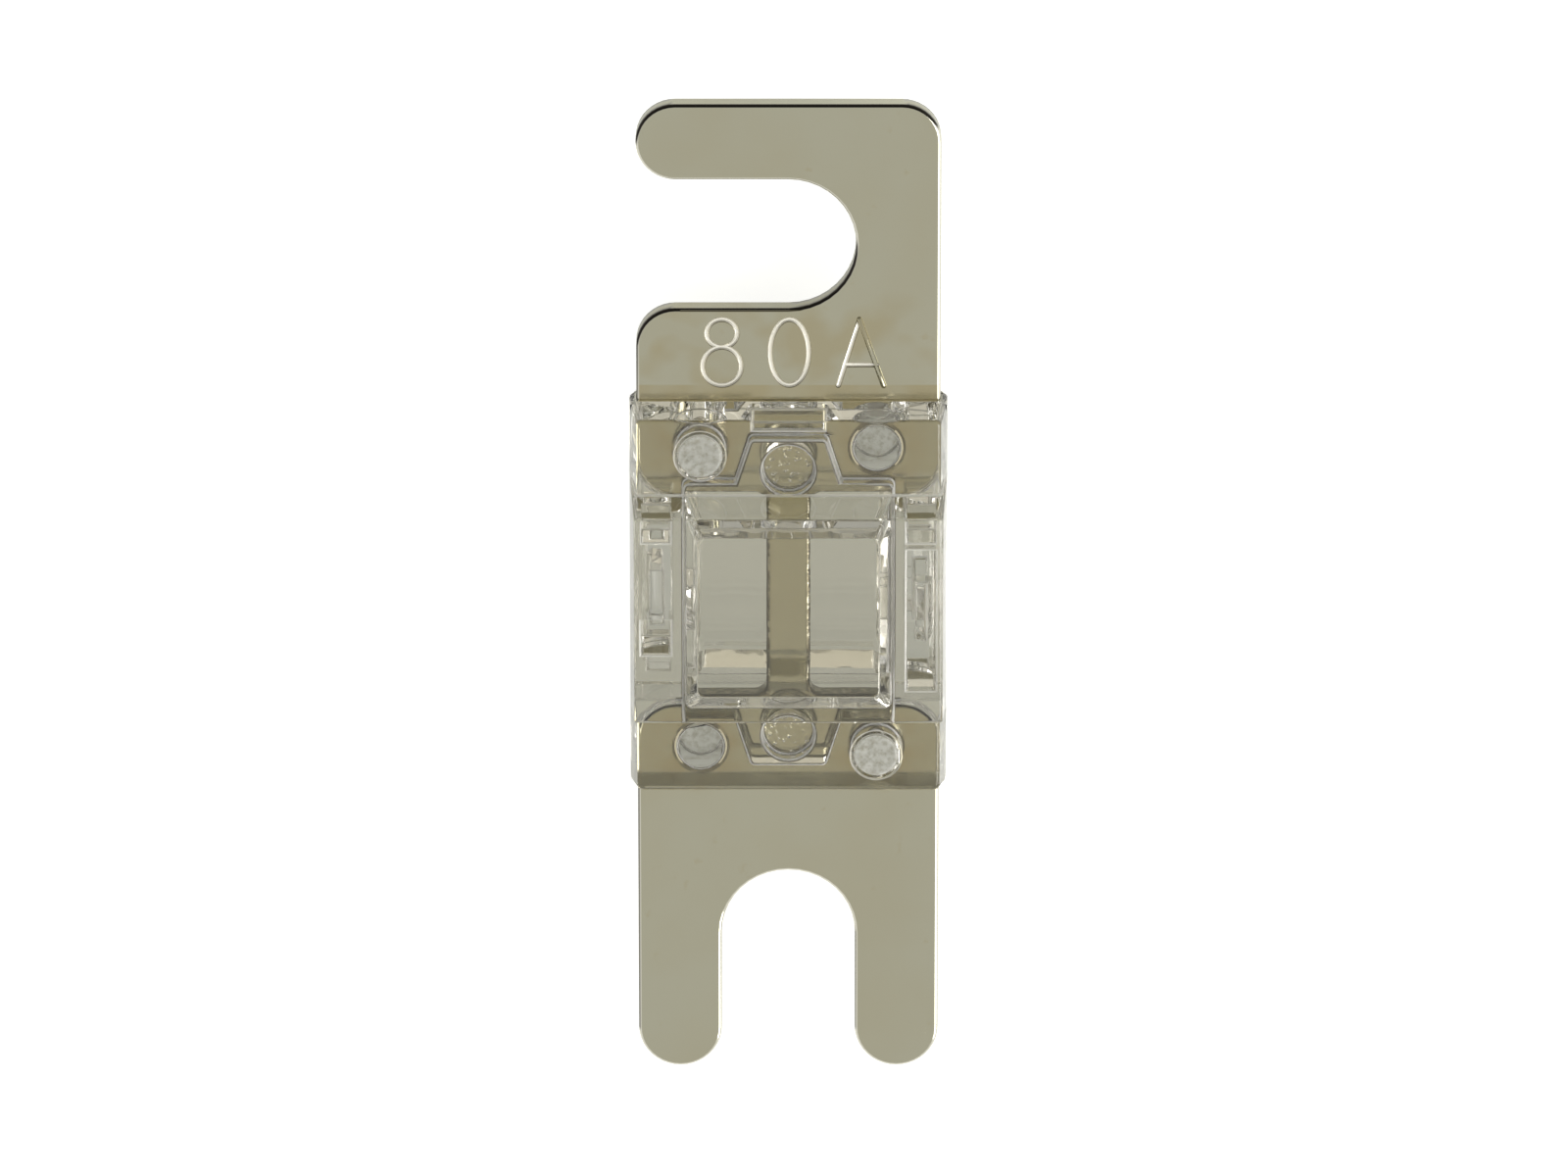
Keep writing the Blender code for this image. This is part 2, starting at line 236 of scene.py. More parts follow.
class StageSettings(bpy.types.PropertyGroup):
    """The floor, the lamps and the camera."""

    floor: FloatVectorProperty(
        name="Floor",
        description="Colour of the floor",
        default=(0.58, 0.585, 0.54),
        subtype="COLOR",
        min=0.0,
        max=1.0,
    )
    floor_seen: FloatProperty(
        name="Floor glow, seen",
        description="Light that the floor adds where the camera looks at it",
        default=0.80,
        min=0.0,
    )
    floor_mirrored: FloatProperty(
        name="Floor glow, mirrored",
        description="Light that the floor adds where a surface mirrors it",
        default=0.40,
        min=0.0,
    )
    floor_under: FloatVectorProperty(
        name="Floor through plastic",
        description="Colour of the floor where it is seen through the plastic",
        default=(0.05, 0.05, 0.045),
        subtype="COLOR",
        min=0.0,
        max=1.0,
    )
    floor_through: FloatVectorProperty(
        name="Floor glow, through",
        description="Light that the floor adds where it is seen through the plastic",
        default=(0.40, 0.405, 0.36),
        subtype="COLOR",
        min=0.0,
        max=1.0,
    )
    lean: FloatProperty(
        name="Camera lean",
        description="How far the camera leans from straight above towards the side slot",
        default=math.radians(20),
        subtype="ANGLE",
    )
    distance: FloatProperty(
        name="Camera distance",
        description="From the middle of the fuse to the camera",
        default=0.513,
        unit="LENGTH",
    )
    view_width: FloatProperty(
        name="View width",
        description="Width of the view at the middle of the fuse",
        default=64.33 * MM,
        unit="LENGTH",
    )
    offset_x: FloatProperty(
        name="Sideways offset",
        description="How far the middle of the fuse lies to the right of the view's centre",
        default=0.181 * MM,
        unit="LENGTH",
    )
    lamp: FloatProperty(
        name="Lamp power",
        description="Power of the soft lamp on the right, in watts",
        default=1.4,
        min=0.0,
    )


def settings():
    """The fuse's values, as the panel shows them."""
    return bpy.context.scene


def deselect():
    """Leaves nothing selected."""
    for found in bpy.context.selected_objects:
        found.select_set(False)


def choose(piece):
    """Makes a piece the only one that is selected and active."""
    deselect()
    piece.select_set(True)
    bpy.context.view_layer.objects.active = piece


def welded_copy(node, name):
    """A copy of a frame node with its loose triangles joined."""
    piece = bpy.data.objects.new(name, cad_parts[node].data.copy())
    bpy.context.scene.collection.objects.link(piece)
    piece.data.name = name
    choose(piece)
    bpy.ops.object.mode_set(mode="EDIT")
    bpy.ops.mesh.customdata_custom_splitnormals_clear()
    bpy.ops.mesh.select_all(action="SELECT")
    bpy.ops.mesh.remove_doubles(threshold=WELD)
    bpy.ops.mesh.dissolve_limited(angle_limit=math.radians(0.5))
    bpy.ops.object.mode_set(mode="OBJECT")
    return piece


def smooth_faces(piece):
    """Smooth rounds beside flat faces that stay flat."""
    choose(piece)
    bpy.ops.object.shade_smooth_by_angle(angle=SMOOTH_ANGLE)
    bpy.ops.object.modifier_add(type="WEIGHTED_NORMAL")
    weighted = piece.modifiers[-1]
    weighted.keep_sharp = True
    weighted.weight = 100
    bpy.ops.object.modifier_apply(modifier=weighted.name)


def box_of(piece):
    """The lowest and highest corners of a piece."""
    points = [point.co for point in piece.data.vertices]
    return [[pick(co[axis] for co in points) for axis in range(3)] for pick in (min, max)]


def is_sharp(edge):
    """Whether two faces meet at an edge with a clear turn."""
    return len(edge.link_faces) == 2 and edge.calc_face_angle() > SMOOTH_ANGLE


def edge_room(edge):
    """How wide a round on an edge may be before it runs into the next edges."""
    room = math.inf
    for point in edge.verts:
        along = (edge.other_vert(point).co - point.co).normalized()
        for other in point.link_edges:
            span = other.other_vert(point).co - point.co
            across = span.cross(along).length
            if other is not edge and (across > EDGE_TURN * span.length or not is_sharp(other)):
                room = min(room, across)
    return EDGE_SHARE * room


def refill_flats(piece):
    """Fills every many sided flat face that faces up or down again, so that no triangle crosses its outline or a
    hole.
    """
    mesh = bmesh.new()
    mesh.from_mesh(piece.data)
    planes = {}
    for face in mesh.faces:
        if len(face.verts) > FLAT_SIDES and abs(face.normal.z) > FLAT_NORMAL:
            height = round(face.calc_center_median().z / FLAT_STEP)
            planes.setdefault((height, face.normal.z > 0), []).append(face)
    for (height, upward), faces in planes.items():
        bmesh.ops.delete(mesh, geom=faces, context="FACES_ONLY")
        loose = [edge for edge in mesh.edges if not edge.link_faces]
        bmesh.ops.delete(mesh, geom=loose, context="EDGES")
        rims = [edge for edge in mesh.edges if len(edge.link_faces) == 1]
        normal = (0.0, 0.0, 1.0 if upward else -1.0)
        bmesh.ops.triangle_fill(mesh, edges=rims, use_beauty=True, normal=normal)
    bmesh.ops.dissolve_degenerate(mesh, edges=mesh.edges, dist=0.1 * WELD)
    mesh.to_mesh(piece.data)
    mesh.free()


def crease_rims(piece):
    """Marks the edges where the rounds begin, so that the flats beside them stay quite flat."""
    mesh = bmesh.new()
    mesh.from_mesh(piece.data)
    for edge in mesh.edges:
        edge.smooth = len({face.material_index for face in edge.link_faces}) == 1
    mesh.to_mesh(piece.data)
    mesh.free()


def round_edges(piece, radius, wide_height, wide_radius):
    """Rounds every sharp edge of a moulding, those at one height wider, and marks the new faces."""
    low, high = (Vector(limit) for limit in box_of(piece))
    choose(piece)
    piece.data.materials.clear()
    piece.data.materials.append(None)
    piece.data.materials.append(None)
    weights = piece.data.attributes.new("bevel_weight_edge", "FLOAT", "EDGE")
    mesh = bmesh.new()
    mesh.from_mesh(piece.data)
    for edge, weight in zip(mesh.edges, weights.data):
        if is_sharp(edge):
            off = max(abs(abs(point.co.z - MIDDLE_Z) - wide_height) for point in edge.verts)
            far_y = abs(edge.verts[0].co.y + edge.verts[1].co.y) / 2
            wanted = radius
            if off < 0.01 * MM:
                wanted = MOUTH_EDGE if far_y < MOUTH_REACH_Y else wide_radius
            weight.value = min(wanted, edge_room(edge)) / wide_radius
    mesh.free()
    bpy.ops.object.modifier_add(type="BEVEL")
    bevel = piece.modifiers[-1]
    bevel.width = wide_radius
    bevel.segments = 4
    bevel.limit_method = "WEIGHT"
    bevel.use_clamp_overlap = False
    bevel.material = 1
    bpy.ops.object.modifier_apply(modifier=bevel.name)
    refill_flats(piece)
    crease_rims(piece)
    for point in piece.data.vertices:
        for axis in range(3):
            point.co[axis] = min(max(point.co[axis], low[axis]), high[axis])
    marks = piece.data.attributes.new(ROUNDED, "FLOAT", "FACE")
    for face, mark in zip(piece.data.polygons, marks.data):
        high = abs(face.center.z - MIDDLE_Z) < CHAMBER_HEIGHT + 0.05 * MM
        inner = abs(face.center.x) < CHAMBER_REACH_X and abs(face.center.y) < CHAMBER_REACH_Y
        if face.material_index:
            mark.value = 1.0 if high and inner else OUTER_MARK
        face.material_index = 0


def cut(piece, tool):
    """Takes a tool's shape out of a piece."""
    choose(piece)
    bpy.ops.object.modifier_add(type="BOOLEAN")
    modifier = piece.modifiers[-1]
    modifier.operation = "DIFFERENCE"
    modifier.solver = "EXACT"
    modifier.object = tool
    bpy.ops.object.modifier_apply(modifier=modifier.name)
    mesh = tool.data
    bpy.data.objects.remove(tool)
    bpy.data.meshes.remove(mesh)


def wear(piece, material):
    """Gives a piece its one material, and hangs it under the root body."""
    piece.data.materials.clear()
    piece.data.materials.append(material)
    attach(piece, "root")


class Surface:
    """A material's nodes, added one after another."""

    def __init__(self, name):
        self.material = bpy.data.materials.new(name)
        self.material.use_nodes = True
        self.tree = self.material.node_tree
        self.tree.nodes.clear()
        self.shader = self.add("ShaderNodeBsdfPrincipled")
        output = self.add("ShaderNodeOutputMaterial")
        self.link(self.shader.outputs["BSDF"], output.inputs["Surface"])
        self.place = self.add("ShaderNodeTexCoord").outputs["Object"]

    def add(self, kind):
        """A new node of a kind."""
        return self.tree.nodes.new(kind)

    def link(self, source, target):
        """Joins two sockets."""
        self.tree.links.new(source, target)

    def stretched(self, scale, turn=0.0):
        """The place on the piece, scaled along each axis and turned about Z."""
        mapping = self.add("ShaderNodeMapping")
        mapping.inputs["Scale"].default_value = scale
        mapping.inputs["Rotation"].default_value[2] = turn
        self.link(self.place, mapping.inputs["Vector"])
        return mapping.outputs["Vector"]

    def noise(self, size, detail=2.0, roughness=0.5, place=None):
        """Noise whose blots are about size across."""
        node = self.add("ShaderNodeTexNoise")
        node.inputs["Scale"].default_value = 1 / size
        node.inputs["Detail"].default_value = detail
        node.inputs["Roughness"].default_value = roughness
        self.link(place or self.place, node.inputs["Vector"])
        return node.outputs["Fac"]

    def remap(self, value, low, high, to_low=0.0, to_high=1.0):
        """A value spread from low..high over to_low..to_high, and held there."""
        node = self.add("ShaderNodeMapRange")
        for socket, number in (
            ("From Min", low),
            ("From Max", high),
            ("To Min", to_low),
            ("To Max", to_high),
        ):
            node.inputs[socket].default_value = number
        self.link(value, node.inputs["Value"])
        return node.outputs["Result"]

    def math(self, operation, first, second=0.0):
        """One sum of two values, each a socket or a number."""
        node = self.add("ShaderNodeMath")
        node.operation = operation
        for socket, value in zip(node.inputs, (first, second)):
            if isinstance(value, (int, float)):
                socket.default_value = value
            else:
                self.link(value, socket)
        return node.outputs["Value"]

    def mix(self, amount, first, second):
        """A colour between two, each a socket or a colour."""
        node = self.add("ShaderNodeMix")
        node.data_type = "RGBA"
        self.link(amount, node.inputs["Factor"])
        for socket, value in ((node.inputs[6], first), (node.inputs[7], second)):
            if isinstance(value, bpy.types.NodeSocket):
                self.link(value, socket)
            else:
                socket.default_value = (*value, 1.0)
        return node.outputs[2]

    def bump(self, height, depth, normal=None):
        """A relief of that depth in metres, laid on another."""
        node = self.add("ShaderNodeBump")
        node.inputs["Distance"].default_value = depth
        self.link(height, node.inputs["Height"])
        if normal:
            self.link(normal, node.inputs["Normal"])
        return node.outputs["Normal"]

    def axes(self):
        """The place's X, Y and Z."""
        node = self.add("ShaderNodeSeparateXYZ")
        self.link(self.place, node.inputs["Vector"])
        return node.outputs["X"], node.outputs["Y"], node.outputs["Z"]


def nickel_plating(values):
    """Bright nickel with handling marks, fine scratches, streaked sheared walls and pressed strokes, with painted
    shade and highlights on the strokes, the rolled rims and the pin holes, and a painted reflection just beyond
    the housing's end.
    """
    skin = Surface("nickel_plating")
    x, y, z = skin.axes()
    clouds = skin.remap(skin.noise(5.0 * MM, 3.0), 0.40, 0.66)
    spots = skin.remap(skin.noise(0.8 * MM, 4.0, 0.65), 0.62, 0.74, 0.0, 0.5)
    near_rating = skin.remap(skin.math("ABSOLUTE", skin.math("SUBTRACT", y, RATING_Y)), 3.0 * MM, 1.2 * MM)
    patches = skin.remap(skin.noise(2.4 * MM, 2.0), 0.42, 0.60, 0.0, 0.75)
    patches = skin.math("MULTIPLY", patches, near_rating)
    handled = skin.math("MAXIMUM", skin.math("MULTIPLY", clouds, 0.22), spots)
    handled = skin.math("MAXIMUM", handled, patches)
    # Painted reflection: a brown band on the strip just beyond the housing's end, below the figures, stands for
    # the housing's end wall mirrored in the plating; it joins the handling marks and takes the stain colour.
    painted_end_reflection = skin.math("MULTIPLY", skin.remap(y, 9.02 * MM, 8.96 * MM), skin.remap(y, 8.2 * MM, 8.3 * MM))
    painted_end_reflection = skin.math("MULTIPLY", painted_end_reflection, skin.remap(skin.noise(1.6 * MM, 2.0), 0.3, 0.6, 0.55, 1.0))
    handled = skin.math("MAXIMUM", handled, painted_end_reflection)
    color = skin.mix(handled, values.color, values.stain)
    depth = skin.math("SUBTRACT", STRIP_TOP, z)
    rim = skin.remap(depth, 0.004 * MM, 0.012 * MM)
    floor = skin.remap(depth, 0.032 * MM, 0.055 * MM, 0.0, 0.85)
    along_rating = skin.math("ABSOLUTE", skin.math("SUBTRACT", y, RATING_Y))
    in_length = skin.math("LESS_THAN", along_rating, RATING_HALF_HEIGHT)
    in_width = skin.math("LESS_THAN", skin.math("ABSOLUTE", x), RATING_HALF_WIDTH)
    in_depth = skin.math("LESS_THAN", depth, RATING_DEPTH)
    pressed = skin.math("MULTIPLY", in_length, skin.math("MULTIPLY", in_width, in_depth))
    # Painted shade: the rims of the pressed strokes are darkened.
    color = skin.mix(skin.math("MULTIPLY", rim, pressed), color, GROOVE_RIM)
    # Painted highlight: the floors of the pressed strokes are lightened to near white bright metal.
    stroke = skin.math("MULTIPLY", floor, pressed)
    color = skin.mix(stroke, color, values.bright)
    from_pin_x = skin.math("SUBTRACT", skin.math("ABSOLUTE", x), PIN_X)
    from_pin_y = skin.math("SUBTRACT", skin.math("ABSOLUTE", y), PIN_Y)
    squares = skin.math(
        "ADD",
        skin.math("MULTIPLY", from_pin_x, from_pin_x),
        skin.math("MULTIPLY", from_pin_y, from_pin_y),
    )
    near_pin = skin.remap(squares, PIN_STAIN_RADIUS * PIN_STAIN_RADIUS, PIN_RING_RADIUS * PIN_RING_RADIUS)
    pooled = skin.math("MULTIPLY", near_pin, skin.remap(skin.noise(1.1 * MM, 3.0), 0.38, 0.62, 0.0, 0.9))
    color = skin.mix(pooled, color, values.stain)
    punched = skin.math("LESS_THAN", squares, PIN_HOLE_RADIUS * PIN_HOLE_RADIUS)
    ringed = skin.math("LESS_THAN", squares, PIN_RING_RADIUS * PIN_RING_RADIUS)
    facing = skin.add("ShaderNodeNewGeometry").outputs["Normal"]
    split = skin.add("ShaderNodeSeparateXYZ")
    skin.link(facing, split.inputs["Vector"])
    tilt = skin.math("ABSOLUTE", split.outputs["Z"])
    upright = skin.remap(tilt, 0.15, 0.02)
    rolled = skin.math("MULTIPLY", skin.remap(tilt, 0.985, 0.93), skin.remap(tilt, 0.02, 0.15))
    rolled = skin.math("MULTIPLY", rolled, skin.math("SUBTRACT", 1.0, pressed))
    # Painted highlight: the rolled edges are lightened towards bright metal, outside the pressed strokes.
    color = skin.mix(skin.math("MULTIPLY", rolled, 0.75), color, values.bright)
    # Painted shade: the rolled rims that face the side slot and the left are painted nearly black.
    painted_rim_shade = skin.math("SUBTRACT", split.outputs["Y"], skin.math("MULTIPLY", split.outputs["X"], 0.24))
    painted_rim_shade = skin.math("MULTIPLY", skin.remap(painted_rim_shade, 0.08, 0.22), rolled)
    color = skin.mix(painted_rim_shade, color, RIM_SHADE)
    # Painted light in the pin holes: their walls are painted bright where they face across the strip and dark
    # where they face along it, and broken dark arcs of painted shade ring each hole.
    sideways = skin.math("GREATER_THAN", skin.math("ABSOLUTE", from_pin_x), skin.math("ABSOLUTE", from_pin_y))
    wall = skin.mix(sideways, GROOVE_RIM, values.bright)
    arcs = skin.remap(skin.noise(0.7 * MM, 1.0), 0.40, 0.55, 0.25, 0.9)
    color = skin.mix(skin.math("MULTIPLY", ringed, arcs), color, GROOVE_RIM)
    color = skin.mix(punched, color, wall)
    # Darker beads along the side edges of the strip's neck.
    along_neck = skin.remap(skin.math("ABSOLUTE", y), 4.6 * MM, 4.4 * MM)
    neck_edge = skin.remap(skin.math("ABSOLUTE", x), 0.70 * MM, 0.80 * MM)
    beads = skin.remap(skin.noise(0.20 * MM, 2.0), 0.42, 0.52, 0.35, 1.0)
    dark_neck_beads = skin.math("MULTIPLY", skin.math("MULTIPLY", along_neck, neck_edge), beads)
    color = skin.mix(dark_neck_beads, color, GROOVE_RIM)
    skin.link(color, skin.shader.inputs["Base Color"])

    along = skin.stretched((1.0, 0.035, 1.0), math.radians(7))
    aslant = skin.stretched((0.04, 1.0, 1.0), math.radians(-16))
    scratches = skin.remap(skin.noise(0.10 * MM, 3.0, 0.6, along), 0.63, 0.72)
    more = skin.remap(skin.noise(0.12 * MM, 3.0, 0.6, aslant), 0.65, 0.74)
    lines = skin.math("MAXIMUM", scratches, more)
    rough = skin.remap(skin.noise(1.6 * MM, 3.0), 0.35, 0.7, values.roughness, values.roughness + 0.05)
    rough = skin.math("ADD", rough, skin.math("MULTIPLY", upright, 0.14))
    rough = skin.math("ADD", rough, skin.math("MULTIPLY", handled, 0.05))
    rough = skin.math("ADD", rough, skin.math("MULTIPLY", stroke, 0.38))
    skin.link(rough, skin.shader.inputs["Roughness"])

    streaks = skin.noise(0.09 * MM, 3.0, 0.6, skin.stretched((1.0, 1.0, 0.12)))
    sheared = skin.math("MULTIPLY", streaks, upright)
    relief = skin.bump(skin.noise(0.9 * MM, 2.0), 0.004 * MM)
    relief = skin.bump(skin.noise(0.06 * MM, 2.0), 0.0006 * MM, relief)
    relief = skin.bump(lines, -0.0006 * MM, relief)
    relief = skin.bump(sheared, 0.006 * MM, relief)
    skin.link(relief, skin.shader.inputs["Normal"])
    skin.shader.inputs["Metallic"].default_value = 1.0
    return skin.material


def clear_plastic(values):
    """Clear polycarbonate with frosted pin ends, speckled post faces and soft flow waves, with painted shade in
    the pin ends' pits and painted dark and white lines on the chamber's rounds.
    """
    skin = Surface("clear_polycarbonate")
    x, y, z = skin.axes()
    far_y = skin.math("ABSOLUTE", y)
    height = skin.math("ABSOLUTE", skin.math("SUBTRACT", z, MIDDLE_Z))
    over_plate = skin.math("GREATER_THAN", height, PIN_HEIGHT)
    beyond_block = skin.math("GREATER_THAN", far_y, PIN_FIRST_Y)
    frosted = skin.math("MULTIPLY", over_plate, beyond_block)

    away = skin.math("SUBTRACT", far_y, POST_Y)
    squares = skin.math("ADD", skin.math("MULTIPLY", x, x), skin.math("MULTIPLY", away, away))
    inside = skin.math("LESS_THAN", squares, POST_RADIUS * POST_RADIUS)
    post = skin.math("MULTIPLY", inside, skin.math("LESS_THAN", height, POST_FACE))

    rough = skin.remap(skin.noise(1.3 * MM, 3.0), 0.4, 0.75, 0.0, 0.035)
    rough = skin.math("ADD", rough, skin.math("MULTIPLY", frosted, values.frost))
    rough = skin.math("ADD", rough, skin.math("MULTIPLY", post, 0.04))
    skin.link(rough, skin.shader.inputs["Roughness"])

    flow = skin.bump(skin.noise(1.5 * MM, 2.0, place=skin.stretched((1.0, 0.5, 1.0))), 0.012 * MM)
    grain = skin.bump(skin.math("MULTIPLY", skin.noise(0.14 * MM, 3.0), frosted), 0.02 * MM, flow)
    pits = skin.remap(skin.noise(0.22 * MM, 1.0), 0.60, 0.70)
    specks = skin.bump(skin.math("MULTIPLY", pits, post), 0.04 * MM, grain)
    skin.link(specks, skin.shader.inputs["Normal"])

    rounded = skin.add("ShaderNodeAttribute")
    rounded.attribute_name = ROUNDED
    edge = rounded.outputs["Fac"]
    blotches = skin.remap(skin.noise(0.24 * MM, 3.0, 0.6), 0.42, 0.66)
    cloudy = skin.math("MULTIPLY", frosted, skin.remap(skin.noise(0.20 * MM, 2.0), 0.35, 0.65, 0.05, 0.22))
    cloudy = skin.math("MAXIMUM", cloudy, skin.math("MULTIPLY", edge, values.edge_scatter))
    skin.link(skin.math("SUBTRACT", 1.0, cloudy), skin.shader.inputs["Transmission Weight"])
    # Painted shade: darker blotches on the frosted pin ends stand for shade in their pits.
    color = skin.mix(skin.math("MULTIPLY", frosted, blotches), values.tint, values.frost_shade)
    split = skin.add("ShaderNodeSeparateXYZ")
    skin.link(skin.add("ShaderNodeNewGeometry").outputs["Normal"], split.inputs["Vector"])
    # Painted shade and highlight on the clear chamber's rounds: dark where a round meets the roof, white on the
    # rest of it.
    chamber = skin.math("GREATER_THAN", edge, 0.5)
    roof_side = skin.remap(skin.math("ABSOLUTE", split.outputs["Z"]), 0.86, 0.94)
    color = skin.mix(skin.math("MULTIPLY", chamber, roof_side), color, GROOVE_RIM)
    color = skin.mix(skin.math("MULTIPLY", chamber, skin.math("SUBTRACT", 1.0, roof_side)), color, (1.0, 1.0, 1.0))
    skin.link(color, skin.shader.inputs["Base Color"])
    skin.shader.inputs["IOR"].default_value = values.ior
    return skin.material


def die_at(tool, x, y, lift):
    """Moves a stroke's die to its place over the strip and fixes it in its mesh."""
    choose(tool)
    tool.location = (x, y, STRIP_TOP + lift)
    bpy.ops.object.transform_apply(location=True, rotation=True, scale=True)
    return tool


def loop_die(x, y, radius_x, radius_y, stamp):
    """The die of a closed loop: a round wire bent to an ellipse."""
    deselect()
    bpy.ops.mesh.primitive_circle_add(vertices=LOOP_POINTS, radius=1.0)
    loop = bpy.context.object
    loop.scale = (radius_x, radius_y, 1.0)
    bpy.ops.object.transform_apply(location=True, rotation=True, scale=True)
    bpy.ops.object.convert(target="CURVE")
    loop = bpy.context.object
    loop.data.bevel_depth = stamp.stroke
    loop.data.bevel_resolution = 3
    bpy.ops.object.convert(target="MESH")
    return die_at(bpy.context.object, x, y, stamp.lift)


def bar_die(start, end, stamp):
    """The die of a straight stroke: a ball pulled out to a round ended bar."""
    run = Vector((end[0] - start[0], end[1] - start[1], 0.0))
    bpy.ops.mesh.primitive_uv_sphere_add(segments=12, ring_count=8, radius=stamp.stroke)
    bar = bpy.context.object
    bpy.ops.object.mode_set(mode="EDIT")
    bpy.ops.mesh.select_all(action="DESELECT")
    bpy.ops.object.mode_set(mode="OBJECT")
    for vertex in bar.data.vertices:
        vertex.select = vertex.co.z > 0.1 * stamp.stroke
    bpy.ops.object.mode_set(mode="EDIT")
    bpy.ops.transform.translate(value=(0.0, 0.0, run.length))
    bpy.ops.object.mode_set(mode="OBJECT")
    bar.rotation_euler = run.to_track_quat("Z", "Y").to_euler()
    return die_at(bar, start[0], start[1], stamp.lift)


def rating_dies(stamp):
    """The strokes of the rating: an eight, a nought and a letter A."""
    low = stamp.baseline
    tall = stamp.height
    eight_x = -2.71 * MM
    nought_x = 0.04 * MM
    letter_x = 2.95 * MM
    lower = 0.29 * tall
    upper = 0.5 * tall - lower
    dies = [
        loop_die(eight_x, low + lower, 0.785 * MM, lower, stamp),
        loop_die(eight_x, low + 2 * lower + upper, 0.62 * MM, upper, stamp),
        loop_die(nought_x, low + tall / 2, 0.785 * MM, tall / 2, stamp),
    ]
    apex = (letter_x - 0.06 * MM, low + tall)
    left = (letter_x - 0.92 * MM, low)
    right = (letter_x + 0.93 * MM, low)
    bar_y = low + 0.31 * tall
    dies.append(bar_die(left, apex, stamp))
    dies.append(bar_die(right, apex, stamp))
    dies.append(bar_die((letter_x - 0.62 * MM, bar_y), (letter_x + 0.64 * MM, bar_y), stamp))
    return dies


class FUSE_OT_strip(bpy.types.Operator):
    """Presses the rating into the strip and plates it"""

    bl_idname = "strip_fuse.make_strip"
    bl_label = "Plated strip"

    def execute(self, context):
        scene = settings()
        strip = welded_copy("fuse_strip", "stamped_strip")
        for die in rating_dies(scene.fuse_stamp):
            cut(strip, die)
        smooth_faces(strip)
        wear(strip, nickel_plating(scene.fuse_plating))
        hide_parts("fuse_strip")
        return {"FINISHED"}


class FUSE_OT_housing(bpy.types.Operator):
    """Finishes the two clear mouldings"""

    bl_idname = "strip_fuse.make_housing"
    bl_label = "Clear housing"

    def execute(self, context):
        values = settings().fuse_housing
        plastic = clear_plastic(values)
        for side in ("front", "rear"):
            half = welded_copy(f"{side}_housing_half", f"{side}_clear_cover")
            round_edges(half, values.edge, CHAMBER_HEIGHT, values.chamber_edge)
            smooth_faces(half)
            wear(half, plastic)
            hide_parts(f"{side}_housing_half")
        return {"FINISHED"}


def pale_floor(stage):
    """A floor that looks white, keeps the shadow, and shows through the plastic as an even grey."""
    material = bpy.data.materials.new("pale_floor")
    material.use_nodes = True
    tree = material.node_tree
    tree.nodes.clear()
    path = tree.nodes.new("ShaderNodeLightPath")

    def lit(color, glow):
        """A matt surface of a colour that also glows; glow is a strength or a socket."""
        both = tree.nodes.new("ShaderNodeAddShader")
        matt = tree.nodes.new("ShaderNodeBsdfDiffuse")
        matt.inputs["Color"].default_value = (*color, 1.0)
        lamp = tree.nodes.new("ShaderNodeEmission")
        if isinstance(glow, tuple):
            lamp.inputs["Color"].default_value = (*glow, 1.0)
        else:
            tree.links.new(glow, lamp.inputs["Strength"])
        tree.links.new(matt.outputs["BSDF"], both.inputs[0])
        tree.links.new(lamp.outputs["Emission"], both.inputs[1])
        return both.outputs["Shader"]

    seen = tree.nodes.new("ShaderNodeMath")
    seen.operation = "MULTIPLY"
    seen.inputs[1].default_value = stage.floor_seen
    tree.links.new(path.outputs["Is Camera Ray"], seen.inputs[0])
    mirrored = tree.nodes.new("ShaderNodeMath")
    mirrored.operation = "MULTIPLY_ADD"
    mirrored.inputs[1].default_value = stage.floor_mirrored
    tree.links.new(path.outputs["Is Glossy Ray"], mirrored.inputs[0])
    tree.links.new(seen.outputs["Value"], mirrored.inputs[2])
    chosen = tree.nodes.new("ShaderNodeMixShader")
    tree.links.new(path.outputs["Is Transmission Ray"], chosen.inputs["Fac"])
    tree.links.new(lit(stage.floor, mirrored.outputs["Value"]), chosen.inputs[1])
    tree.links.new(lit(stage.floor_under, tuple(stage.floor_through)), chosen.inputs[2])
    output = tree.nodes.new("ShaderNodeOutputMaterial")
    tree.links.new(chosen.outputs["Shader"], output.inputs["Surface"])
    return material


